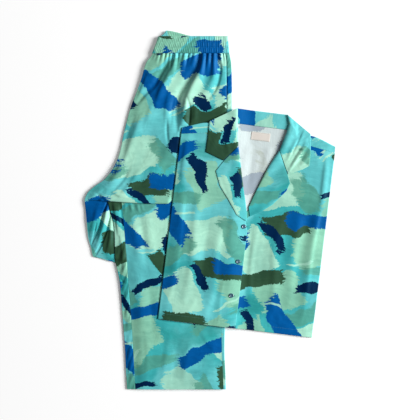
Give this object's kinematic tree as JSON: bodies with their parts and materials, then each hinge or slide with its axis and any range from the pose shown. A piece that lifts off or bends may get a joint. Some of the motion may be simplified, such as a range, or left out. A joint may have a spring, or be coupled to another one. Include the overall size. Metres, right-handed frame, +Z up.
{
  "type": "folded pyjama set",
  "caption": "Long trousers folded lengthwise with an elastic waist, and a notched-collar button shirt folded flat and laid over them.",
  "frame": {"origin": "bottom centre of the set's box, on the surface that it lies on", "axes": "+Y along the trousers from hem to waist, +X towards the shirt's side, +Z up from the surface"},
  "size_m": [0.701, 1.002, 0.02],
  "materials": {
    "trouser_cloth": "soft satin weave, printed",
    "waistband_cloth": "soft satin weave, printed, gathered on elastic",
    "shirt_cloth": "soft satin weave, printed",
    "collar_cloth": "soft satin weave, printed, interlined",
    "shirt_inside": "pale wrong side of the print",
    "label": "woven ribbon, blank",
    "button": "polished, slightly clear"
  },
  "bodies": {
    "root": {"trouser_under_layers": "trouser_cloth", "trouser_front_seat": "trouser_cloth", "trouser_back_seat": "trouser_cloth", "trouser_front_leg": "trouser_cloth", "trouser_back_leg": "trouser_cloth", "trouser_crotch": "trouser_cloth", "waistband_front": "waistband_cloth", "waistband_back": "waistband_cloth", "shirt_under_layers": "shirt_cloth", "shirt_back": "shirt_inside", "shirt_right_front": "shirt_cloth", "shirt_left_front": "shirt_cloth", "shirt_back_shoulder_right": "shirt_cloth", "shirt_back_shoulder_left": "shirt_cloth", "collar_stand": "collar_cloth", "collar_right": "collar_cloth", "collar_left": "collar_cloth", "lapel_right": "collar_cloth", "lapel_left": "collar_cloth", "neck_label": "label", "button_1": "button", "button_2": "button", "button_3": "button"}
  },
  "joints": []
}
